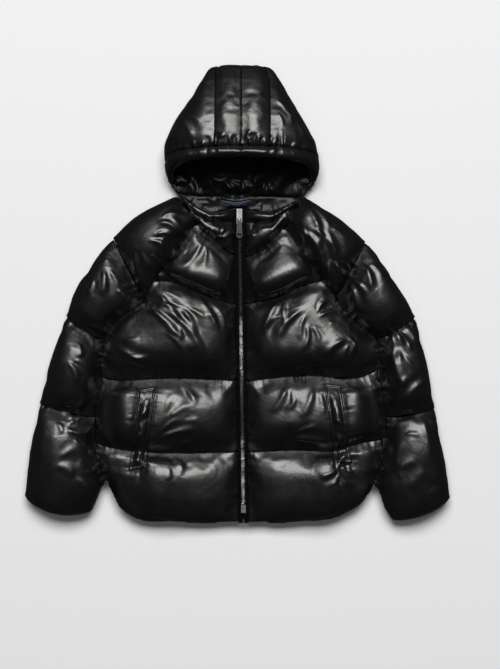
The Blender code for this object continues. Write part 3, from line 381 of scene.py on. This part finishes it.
def copy_of(node, name):
    """A new object with the CAD node's mesh, its points merged."""
    source = NODES[node]
    mesh = source.data.copy()
    mesh.name = name
    mesh.transform(source.matrix_world)
    shape = bmesh.new()
    shape.from_mesh(mesh)
    bmesh.ops.remove_doubles(shape, verts=shape.verts, dist=1e-5)
    shape.to_mesh(mesh)
    shape.free()
    mesh.materials.clear()
    return link(bpy.data.objects.new(name, mesh))


def apply_modifiers(obj):
    graph = bpy.context.evaluated_depsgraph_get()
    mesh = bpy.data.meshes.new_from_object(obj.evaluated_get(graph))
    obj.modifiers.clear()
    old = obj.data
    obj.data = mesh
    bpy.data.meshes.remove(old)


def remesh(obj, voxel):
    modifier = obj.modifiers.new("remesh", "REMESH")
    modifier.mode = "VOXEL"
    modifier.voxel_size = voxel
    apply_modifiers(obj)


def points_of(mesh):
    points = np.empty(len(mesh.vertices) * 3)
    mesh.vertices.foreach_get("co", points)
    return points.reshape(-1, 3)


def set_points(mesh, points):
    mesh.vertices.foreach_set("co", points.reshape(-1))
    mesh.update()


def normals_of(mesh):
    normals = np.empty(len(mesh.vertices) * 3)
    mesh.vertices.foreach_get("normal", normals)
    return normals.reshape(-1, 3)


def surface_of(objects):
    """The surfaces of some objects together, to find the nearest or the highest place on them."""
    points, faces = [], []
    for obj in objects:
        start = len(points)
        points += [vertex.co.copy() for vertex in obj.data.vertices]
        faces += [[start + i for i in face.vertices] for face in obj.data.polygons]
    return BVHTree.FromPolygons(points, faces)


def cad_surface(names):
    return surface_of([NODES[name] for name in names])


def height_on(surface, x, y, otherwise):
    hit = surface.ray_cast(Vector((x, y, 1.0)), Vector((0, 0, -1)))[0]
    return hit.z if hit else otherwise


def neighbours_of(node, reach=0.004):
    low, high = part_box(node)
    found = []
    for other in NODES:
        if other == node:
            continue
        other_low, other_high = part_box(other)
        if all(other_low[i] < high[i] + reach and low[i] < other_high[i] + reach for i in range(3)):
            found.append(other)
    return found


# ------------------------------------------------------------------ padding


def inflate(obj, node, extra, pressure, cap):
    """Blender's cloth blows the pad up, held where it meets its neighbours and the surface below."""
    around = cad_surface(neighbours_of(node))
    start = points_of(obj.data)
    held = []
    for index, point in enumerate(start):
        near = around.find_nearest(Vector(point), PIN_WITHIN)[0] is not None
        if near or point[2] < FLOOR_PIN:
            held.append(index)
    group = obj.vertex_groups.new(name="held")
    group.add(held, 1.0, "REPLACE")
    cloth = obj.modifiers.new("cloth", "CLOTH")
    settings = cloth.settings
    settings.quality = 5
    settings.mass = 0.15
    settings.air_damping = 2.0
    settings.tension_stiffness = 20
    settings.compression_stiffness = 20
    settings.shear_stiffness = 8
    settings.bending_stiffness = 3.0
    settings.use_pressure = True
    settings.uniform_pressure_force = pressure
    settings.shrink_min = -extra
    settings.vertex_group_mass = "held"
    settings.effector_weights.gravity = 0.0
    cloth.collision_settings.use_collision = False
    cloth.point_cache.frame_start = 1
    cloth.point_cache.frame_end = SIM_FRAMES
    for number in range(1, SIM_FRAMES + 1):
        SCENE.frame_set(number)
    apply_modifiers(obj)
    end = points_of(obj.data)
    move = end - start
    length = np.linalg.norm(move, axis=1)
    limit = np.where(length > cap, cap / np.maximum(length, 1e-9), 1.0)
    points = start + move * limit[:, None]
    points[:, 2] = np.maximum(points[:, 2], 0.0)
    set_points(obj.data, points)
    obj.vertex_groups.clear()


def ease(obj, rounds):
    """Even out the small steps that the remesh leaves."""
    smooth = obj.modifiers.new("ease", "SMOOTH")
    smooth.factor = 0.5
    smooth.iterations = rounds
    apply_modifiers(obj)


def beside(node):
    """The neighbours that a channel is sewn to, without what lies above or below it."""
    skipped = next((names for start, names in LIES_WITH.items() if node.startswith(start)), ("zip", "neck"))
    return [other for other in neighbours_of(node) if not other.startswith(skipped)]


def nearest(points, surface, reach):
    """The nearest place on a surface to each point, and how far it is; beyond reach that is very large."""
    places = np.zeros_like(points)
    away = np.full(len(points), 1.0)
    for index, point in enumerate(points):
        near, _, _, distance = surface.find_nearest(Vector(point), reach)
        if near is not None:
            places[index] = near
            away[index] = distance
    return places, away


def pull_of(away, full, reach):
    """How far a point is drawn to the nearest place: up to the seam's gap within full, not at all past
    reach."""
    return np.clip((reach - away) / (reach - full), 0, 1) * np.clip(1 - SEAM_GAP / away, 0, 1)


def meet(points, places, away):
    """Bring a channel's edge back to its seams, where the remesh has drawn it in."""
    return points + (places - points) * pull_of(away, MEET_FULL, MEET_REACH)[:, None]


def gather(places, away, height, reach, spacing):
    """Puckers that run away from the seams: each point takes the lie of the nearest place on a seam."""
    added = np.zeros(len(places))
    for index in np.flatnonzero(away < GATHER_FAR * reach):
        x, y, z = places[index] / spacing
        place = Vector((x, y, GATHER_UPWARD * z))
        long = noise.noise(place * GATHER_SLOW + Vector((3.1, 0.0, 0.0)))
        local = reach * (GATHER_SHORT + GATHER_VARIES * long)
        finer = GATHER_FINE * abs(noise.noise(place * GATHER_FINER))
        ridge = 1.0 - 2.0 * abs(noise.noise(place)) - finer
        fade = math.exp(-((away[index] / local) ** 1.5)) * min(1.0, away[index] / SEAM_PLAIN)
        groove = SEAM_GROOVE * height * math.exp(-((away[index] / SEAM_PLAIN) ** 2))
        added[index] = height * (1.0 + long) * ridge * fade - groove
    return added


def with_lesser(rows):
    """Each narrow crease, and one or two shorter, finer ones that fan out beside it."""
    for number, (x0, y0, x1, y1, half, height, bow) in enumerate(rows):
        yield x0, y0, x1, y1, half, height, bow
        if half > NARROW:
            continue
        length = math.hypot(x1 - x0, y1 - y0)
        for first, last, start, end in LESSER[: 1 + number % 2]:
            ends = []
            for out, at in ((first, start), (last, end)):
                step = half * out / length
                ends += [x0 + (x1 - x0) * at - (y1 - y0) * step, y0 + (y1 - y0) * at + (x1 - x0) * step]
            yield *ends, half * LESSER_HALF, height * LESSER_HEIGHT, bow


def puckers():
    """The puckers above the hood's brim, as creases that start from its seam."""
    seam_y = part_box("hood_centre_left")[0][1]
    for x, lean, length, height in PUCKERS:
        y = seam_y - BRIM_DROP * (x - BRIM_MIDDLE_X) ** 2
        yield x, y, x + lean, y + length, PUCKER_HALF, height, PUCKER_BOW


def smooth_step(share):
    return share * share * (3 - 2 * share)


def crease(points, low_z, rows):
    """Soft ridges with a trough beside each, only on the upper side."""
    added = np.zeros(len(points))
    upper = smooth_step(np.clip((points[:, 2] - low_z) / CREASE_FADE, 0, 1))
    for x0, y0, x1, y1, half, height, bow in rows:
        line = np.array([x1 - x0, y1 - y0])
        length = np.linalg.norm(line)
        line = line / length
        offset = points[:, :2] - (x0, y0)
        along = offset @ line / length
        across = offset @ np.array([-line[1], line[0]])
        within = np.clip(along, 0, 1)
        across = across - bow * length * 4 * within * (1 - within)
        ends = smooth_step(np.clip(np.minimum(along, 1 - along) * CREASE_ENDS + CREASE_END_LEAST, 0, 1))
        wide = half * (CREASE_START + CREASE_WIDENS * within)
        trough = np.exp(-(((across - TROUGH_OUT * wide) / (TROUGH_WIDE * wide)) ** 2))
        ridge = np.exp(-((across / wide) ** 2)) - TROUGH_DEEP * trough
        added += height * ends * ridge * upper
    return added


def tuck(points, steep, finished):
    """Draw a sleeve's steep inner side against the finished body beside it."""
    body = surface_of([pad for name, pad in finished.items() if name.startswith("front_")])
    places, away = nearest(points, body, TUCK_REACH)
    return points + (places - points) * (pull_of(away, TUCK_FULL, TUCK_REACH) * steep)[:, None]


def sculpt(obj, node, row, finished):
    """Seams closed, gathers beside them, creases and a slow unevenness, along the surface's own normals."""
    height, reach, spacing = row.height, row.reach, row.spacing
    far = GATHER_FAR * reach
    points = points_of(obj.data)
    normals = normals_of(obj.data)
    sewn = beside(node)
    welts = [name for name in sewn if name.startswith("pocket")]
    panels = [name for name in sewn if name not in welts]
    places, away = nearest(points, cad_surface(panels), far)
    points = meet(points, places, away)
    if node in HOOD_STRIPS:
        strips = [name for name in sewn if name in HOOD_STRIPS]
        strip_places, strip_away = nearest(points, cad_surface(strips), far)
        added = gather(strip_places, strip_away, height * STRIP_GATHER, reach, spacing)
        places, away = nearest(points, cad_surface(["hood_brim"]), far)
        added += gather(places, away, height, reach, spacing)
    else:
        added = gather(places, away, height, reach, spacing)
    if node.startswith("front_") and welts:
        places, away = nearest(points, cad_surface(welts), far)
        added += gather(places, away, height, WELT_GATHER * reach, WELT_GATHER * spacing)
    added *= np.clip(np.abs(normals[:, 2]) / SIDE_BELOW, SIDE_GATHER, 1)
    low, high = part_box(node)
    rows = list(with_lesser(CREASES)) + (list(puckers()) if node in HOOD_STRIPS else [])
    added += crease(points, low[2] + CREASE_FROM * (high[2] - low[2]), rows)
    added += UNEVEN_HIGH * np.array([noise.noise(Vector(point) * UNEVEN_SCALE) for point in points])
    points = points + normals * added[:, None]
    if node.startswith("sleeve_"):
        points = tuck(points, np.clip((STEEP_BELOW - normals[:, 2]) / STEEP_OVER, 0, 1), finished)
    points[:, 2] = np.maximum(points[:, 2], 0.0)
    set_points(obj.data, points)


def make_pad(node, row, material, finished):
    """One channel's padding: remeshed, blown up, eased, made finer and given its seams and creases."""
    pad = copy_of(node, "pad_" + node)
    remesh(pad, row.voxel)
    inflate(pad, node, row.extra, row.pressure, row.cap)
    ease(pad, EASE_ROUNDS)
    fine = pad.modifiers.new("fine", "SUBSURF")
    fine.levels = fine.render_levels = 1
    apply_modifiers(pad)
    sculpt(pad, node, row, finished)
    pad.data.shade_smooth()
    pad.data.materials.clear()
    pad.data.materials.append(material)
    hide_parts(node)
    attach(pad, "jacket")
    return pad


def make_pads(material, painted_shade_cloth):
    """All the channels' padding by node; in this order the fronts are finished before the sleeves."""
    pads = {}
    for node in sorted(NODES):
        row = next((row for row in PADS if node.startswith(row.starts)), None)
        if row:
            # Painted shade: the hood's inside and the back collar take the less shiny copy of the cloth.
            pads[node] = make_pad(node, row, painted_shade_cloth if node in PAINTED_SHADE_PADS else material, pads)
    return pads


# ------------------------------------------------------------------ trims


def new_piece(name, points, faces, material):
    mesh = bpy.data.meshes.new(name)
    mesh.from_pydata([tuple(map(float, point)) for point in points], [], faces)
    mesh.materials.append(material)
    piece = link(bpy.data.objects.new(name, mesh))
    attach(piece, "jacket")
    return piece


def wall_between(upper, lower):
    """Points and faces of a closed wall between two grids of one size."""
    rows, columns = upper.shape[:2]
    count = rows * columns
    index = np.arange(count).reshape(rows, columns)
    a, b, c, d = index[:-1, :-1], index[:-1, 1:], index[1:, 1:], index[1:, :-1]
    top = np.stack([a, b, c, d], -1).reshape(-1, 4)
    border = np.r_[index[0, :-1], index[:-1, -1], index[-1, :0:-1], index[:0:-1, 0]]
    after = np.roll(border, -1)
    sides = np.stack([after, border, border + count, after + count], -1)
    faces = np.vstack([top, top[:, ::-1] + count, sides]).tolist()
    return np.vstack([upper.reshape(-1, 3), lower.reshape(-1, 3)]), faces


def zip_middle(y):
    """The middle of the zip at one height, from the frame's two strips of teeth."""
    top_x, top_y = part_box("zip_teeth_left")[0][0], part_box("zip_teeth_left")[1][1]
    end_x, end_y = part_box("zip_teeth_right")[1][0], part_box("zip_teeth_right")[0][1]
    return top_x + (end_x - top_x) * (top_y - y) / (top_y - end_y)


def make_tapes(material):
    for side, out in (("right", -1), ("left", 1)):
        node = "zip_tape_" + side
        low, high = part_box(node)
        half = 0.5 * (high[0] - low[0]) - 0.5 * abs(zip_middle(low[1]) - zip_middle(high[1]))
        outer = abs(0.5 * (high[0] + low[0]) - zip_middle(0.5 * (low[1] + high[1]))) + half
        rows = np.linspace(low[1], high[1], TAPE_ROWS)
        across = np.linspace(TAPE_INNER, outer, TAPE_COLUMNS)
        upper = np.array([[(zip_middle(y) + out * x, y, low[2] + TAPE_THICK) for x in across] for y in rows])
        wave = [[noise.noise(Vector((90 * x, 60 * y, out))) for x, y, _ in row] for row in upper]
        upper[..., 2] += TAPE_RIPPLE * np.array(wave)
        lower = upper - (0, 0, TAPE_THICK)
        points, faces = wall_between(upper, lower)
        tape = new_piece("tape_" + side, points, faces, material)
        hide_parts(node)


def tooth_points(out, low, high):
    """The corners of one tooth: its foot, its shoulder and its smaller top."""
    near, far, half = -TOOTH_PAST, TOOTH_FOOT, TOOTH_WIDE / 2
    rings = [(low, 0.0), (high - TOOTH_CHAMFER, 0.0), (high, TOOTH_CHAMFER)]
    points = []
    for z, inset in rings:
        for x, y in ((near, -half), (far, -half), (far, half), (near, half)):
            points.append((out * (x - math.copysign(inset, x)), y - math.copysign(inset, y), z))
    return np.array(points)


def make_teeth(material):
    """Two rows of single teeth, those on the wearer's left half a pitch further up."""
    tooth_faces = [[3, 2, 1, 0], [8, 9, 10, 11]]
    for ring in (0, 4):
        for a, b in ((0, 1), (1, 2), (2, 3), (3, 0)):
            tooth_faces.append([ring + a, ring + b, ring + b + 4, ring + a + 4])
    for side, out in (("right", -1), ("left", 1)):
        node = "zip_teeth_" + side
        low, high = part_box(node)
        one = tooth_points(out, low[2], high[2])
        offset = TOOTH_PITCH / 2 if out > 0 else 0.0
        places = np.arange(low[1] + TOOTH_PITCH / 2 + offset, high[1] - TOOTH_PITCH / 2, TOOTH_PITCH)
        points, faces = [], []
        for number, y in enumerate(places):
            share = (high[1] - y) / (high[1] - low[1])
            lean = np.interp(share, *zip(*CHAIN_LEAN))
            slope = lean + TOOTH_UNEVEN * noise.noise(Vector((out, TOOTH_NOISE * y, 0.0)))
            tooth = one + (zip_middle(y), y, 0.0)
            tooth[:, 2] += slope * one[:, 1]
            points.append(tooth)
            faces += [[len(one) * number + i for i in face] for face in tooth_faces]
        teeth = new_piece("teeth_" + side, np.vstack(points), faces, material)
        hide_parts(node)


def finish_metal(bright, dark):
    """Small bevels and a metal of their own for the hard pieces of the zip."""
    for node, material in (("zip_slider", bright), ("zip_box", bright), ("zip_pull", dark)):
        piece = NODES[node]
        piece.data.materials.clear()
        piece.data.materials.append(material)
        bevel = piece.modifiers.new("edge", "BEVEL")
        bevel.width = METAL_EDGE
        bevel.segments = 2
        bevel.limit_method = "ANGLE"


def make_welts(surface, material):
    """A soft, puckered middle between two stiff rails, laid on the finished front."""
    welts = []
    for side in ("right", "left"):
        node = "pocket_welt_" + side
        corners = welt_corners(points_of(NODES[node].data))
        u = np.linspace(0, 1, WELT_ACROSS)
        v = np.linspace(0, 1, WELT_DOWN)
        plan = (1 - v)[:, None, None] * ((1 - u)[None, :, None] * corners[0] + u[None, :, None] * corners[1])
        plan = plan + v[:, None, None] * ((1 - u)[None, :, None] * corners[3] + u[None, :, None] * corners[2])
        bed = np.array([[height_on(surface, x, y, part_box(node)[0][2]) for x, y in row] for row in plan])
        for _ in range(WELT_BED_ROUNDS):
            bed[1:-1] = np.maximum(bed[1:-1], (bed[:-2] + bed[2:]) / 2)
        wide = np.linalg.norm(corners[1] - corners[0])
        from_edge = np.minimum(u, 1 - u) * wide
        from_end = np.minimum(v, 1 - v) * np.linalg.norm(corners[3] - corners[0])
        edge = np.minimum(from_edge[None, :], from_end[:, None])
        rail = WELT_RAIL_HIGH * np.sqrt(np.clip(np.sin(np.pi * np.clip(edge / WELT_RAIL, 0, 1)), 0, 1))
        inside = np.clip((edge - WELT_RAIL) / (0.5 * wide - WELT_RAIL), 0, 1)
        shares, fullness = zip(*WELT_LIE[side])
        lie = np.interp(v[:, None] + WELT_LEAN * (u[None, :] - 0.5), shares, fullness)
        for _ in range(WELT_LIE_ROUNDS):
            lie[1:-1] = (lie[:-2] + 2 * lie[1:-1] + lie[2:]) / 4
        soft = WELT_SOFT_HIGH * lie * (1 - (1 - inside) ** 2)
        for r, c in zip(*np.nonzero(inside)):
            x, y = plan[r, c]
            fold = 1.0 - 2.2 * abs(noise.noise(Vector((30 * x + 30 * y, 48 * y, 4.0))))
            soft[r, c] += WELT_ROUGH * fold * inside[r, c]
        top = np.dstack([plan, bed + WELT_ABOVE + rail + soft])
        skirt = np.dstack([plan, bed - WELT_SKIRT])
        points, faces = wall_between(top, skirt)
        welt = new_piece("welt_" + side, points, faces, material)
        welt.data.shade_smooth()
        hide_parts(node)
        welts.append((welt, corners))
    return welts


def welt_corners(points):
    """The welt's four corners seen from above: outer top, inner top, inner bottom, outer bottom."""
    flat = points[:, :2]
    top = flat[flat[:, 1] > flat[:, 1].max() - WELT_END]
    bottom = flat[flat[:, 1] < flat[:, 1].min() + WELT_END]
    outward = math.copysign(1.0, flat[:, 0].mean())
    picked = [max, min, min, max]
    groups = [top, top, bottom, bottom]
    return [
        np.array(pick(group.tolist(), key=lambda point: outward * point[0]))
        for pick, group in zip(picked, groups)
    ]


def make_label(material):
    """A plain satin label: the frame's solid, finer and a little rippled."""
    label = copy_of("neck_label", "label")
    remesh(label, LABEL_VOXEL)
    ease(label, LABEL_EASE)
    points = points_of(label.data)
    for index, (x, y, _) in enumerate(points):
        points[index, 2] += LABEL_RIPPLE * noise.noise(Vector((120 * x, 60 * y, 0.0)))
    set_points(label.data, points)
    label.data.shade_smooth()
    label.data.materials.append(material)
    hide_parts("neck_label")
    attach(label, "jacket")


def stitch_row(path, surface):
    """Points and faces of a row of stitches along a path seen from above: small roofs with sunk edges."""
    along = np.r_[0.0, np.cumsum(np.linalg.norm(np.diff(path, axis=0), axis=1))]
    roof = [(0, 3, 4, 1), (1, 4, 5, 2), (2, 5, 3, 0), (0, 1, 2), (5, 4, 3)]
    points, faces = [], []
    for start in np.arange(0.0, along[-1] - STITCH_LONG, STITCH_APART):
        ats = (start, start + STITCH_LONG)
        ends = [np.array([np.interp(at, along, path[:, i]) for i in (0, 1)]) for at in ats]
        heights = [height_on(surface, *end, None) for end in ends]
        if None in heights:
            continue
        line = (ends[1] - ends[0]) / STITCH_LONG
        side = np.array([-line[1], line[0]]) * STITCH_HALF
        faces += [[len(points) + i for i in face] for face in roof]
        for end, height in zip(ends, heights):
            edge = height - STITCH_SUNK
            points += [(*(end - side), edge), (*end, height + STITCH_HALF), (*(end + side), edge)]
    return points, faces


def brim_path():
    """An arch along the brim, flatter than a half circle."""
    low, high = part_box("hood_brim")
    centre, half = (low[0] + high[0]) / 2, (high[0] - low[0]) / 2 - BRIM_STITCH_SIDE
    foot, top = low[1] + BRIM_STITCH_UP, high[1] - BRIM_STITCH_DOWN
    turn = np.linspace(BRIM_STITCH_ENDS, 1 - BRIM_STITCH_ENDS, 160) * math.pi
    return np.column_stack([centre - half * np.cos(turn), foot + (top - foot) * np.sin(turn) ** 0.5])


def make_stitches(pads, welts, fronts, material):
    """Rows of stitches: along the brim, beside the zip and round the welts."""
    rows = [stitch_row(brim_path(), surface_of([pads["hood_brim"]]))]
    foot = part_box("zip_tape_left")[0][1] + ZIP_STITCH_UP
    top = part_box("front_left_yoke")[1][1] - ZIP_STITCH_DOWN
    for out in (-1, 1):
        path = np.array([(zip_middle(y) + out * ZIP_STITCH_OUT, y) for y in np.linspace(foot, top, 200)])
        rows.append(stitch_row(path, fronts))
    for welt, corners in welts:
        surface = surface_of([welt])
        for inset in WELT_STITCH_INSETS:
            ring = inset_ring(corners, inset)
            rows.append(stitch_row(np.array(ring + ring[:1]), surface))
    points, faces = [], []
    for row_points, row_faces in rows:
        start = len(points)
        points += row_points
        faces += [[start + i for i in face] for face in row_faces]
    new_piece("stitches", points, faces, material)


def inset_ring(corners, inset):
    """A four-cornered outline, drawn in by the same distance on all sides."""
    drawn = []
    for number, corner in enumerate(corners):
        before, after = corners[number - 1] - corner, corners[(number + 1) % 4] - corner
        drawn.append(corner + inset * (before / np.linalg.norm(before) + after / np.linalg.norm(after)))
    return drawn


# ------------------------------------------------------------------ stage


def add_softbox(name, place, wide, high, power, colour, mirrored=True):
    """A lamp turned to the jacket; one that isn't mirrored leaves no highlights, as if diffused further."""
    data = bpy.data.lights.new(name, "AREA")
    data.shape = "RECTANGLE"
    data.size, data.size_y = wide, high
    data.energy = power
    data.color = colour
    lamp = link(bpy.data.objects.new(name, data))
    lamp.location = place
    lamp.rotation_euler = (-Vector(place)).to_track_quat("-Z", "Y").to_euler()
    lamp.visible_glossy = mirrored
    return lamp


def make_stage():
    """A pale floor just under the jacket, a dim world, a key lamp beyond the hood and a soft fill."""
    mesh = bpy.data.meshes.new("floor")
    half, under = 6.0, 0.0005
    corners = [(-half, -half), (half, -half), (half, half), (-half, half)]
    mesh.from_pydata([(x, y, -under) for x, y in corners], [], [(0, 1, 2, 3)])
    floor = link(bpy.data.objects.new("floor", mesh))
    mesh.materials.append(new_material("floor_pale", (0.86, 0.87, 0.885), 0.9))
    floor.visible_glossy = False
    world = bpy.data.worlds.new("studio")
    world.use_nodes = True
    background = world.node_tree.nodes["Background"]
    background.inputs["Color"].default_value = (0.9, 0.95, 1.0, 1.0)
    background.inputs["Strength"].default_value = 0.04
    SCENE.world = world
    add_softbox("key", (0.1, 4.0, 6.7), wide=5.2, high=3.4, power=665, colour=(1.0, 0.99, 0.97))
    add_softbox(
        "fill", (-1.4, -1.2, 7.8), wide=8.0, high=6.0, power=48, colour=(0.98, 0.99, 1.0), mirrored=False
    )
    SCENE.view_settings.view_transform = "Standard"


def make_camera():
    data = bpy.data.cameras.new("camera")
    data.sensor_width = 36.0
    data.lens = data.sensor_width * CAMERA_ABOVE / PICTURE_HIGH
    data.clip_end = 50.0
    camera = link(bpy.data.objects.new("camera", data))
    camera.location = (CAMERA_X, CAMERA_Y, CAMERA_ABOVE)
    SCENE.camera = camera


# ------------------------------------------------------------------ build

make_camera()
make_stage()
black = coated_black("coated_black", specular=0.60, coat=0.22)
# Painted shade: the same near-black cloth with far less shine, used on the hood's inside and the back collar
# to darken them as if shaded.
inside = coated_black("coated_black_painted_shade", specular=0.16, coat=0.05)
taped = woven("tape_black", (0.002, 0.002, 0.002), roughness=0.75, ribs=260.0, depth=0.0002, specular=0.04)
satin = woven("label_navy", (0.010, 0.018, 0.060), roughness=0.45, ribs=900.0, depth=0.0001, specular=0.5)
bright = metal("slider_gunmetal", (0.40, 0.39, 0.38), roughness=0.36)
dark = metal("pull_black", (0.07, 0.07, 0.07), roughness=0.40)

pads = make_pads(black, inside)
fronts = surface_of([pad for node, pad in pads.items() if node.startswith("front_")])
make_tapes(taped)
make_teeth(metal("teeth_gunmetal", (0.31, 0.305, 0.30), roughness=0.30))
finish_metal(bright, dark)
welts = make_welts(fronts, black)
make_label(satin)
make_stitches(pads, welts, fronts, thread_black())
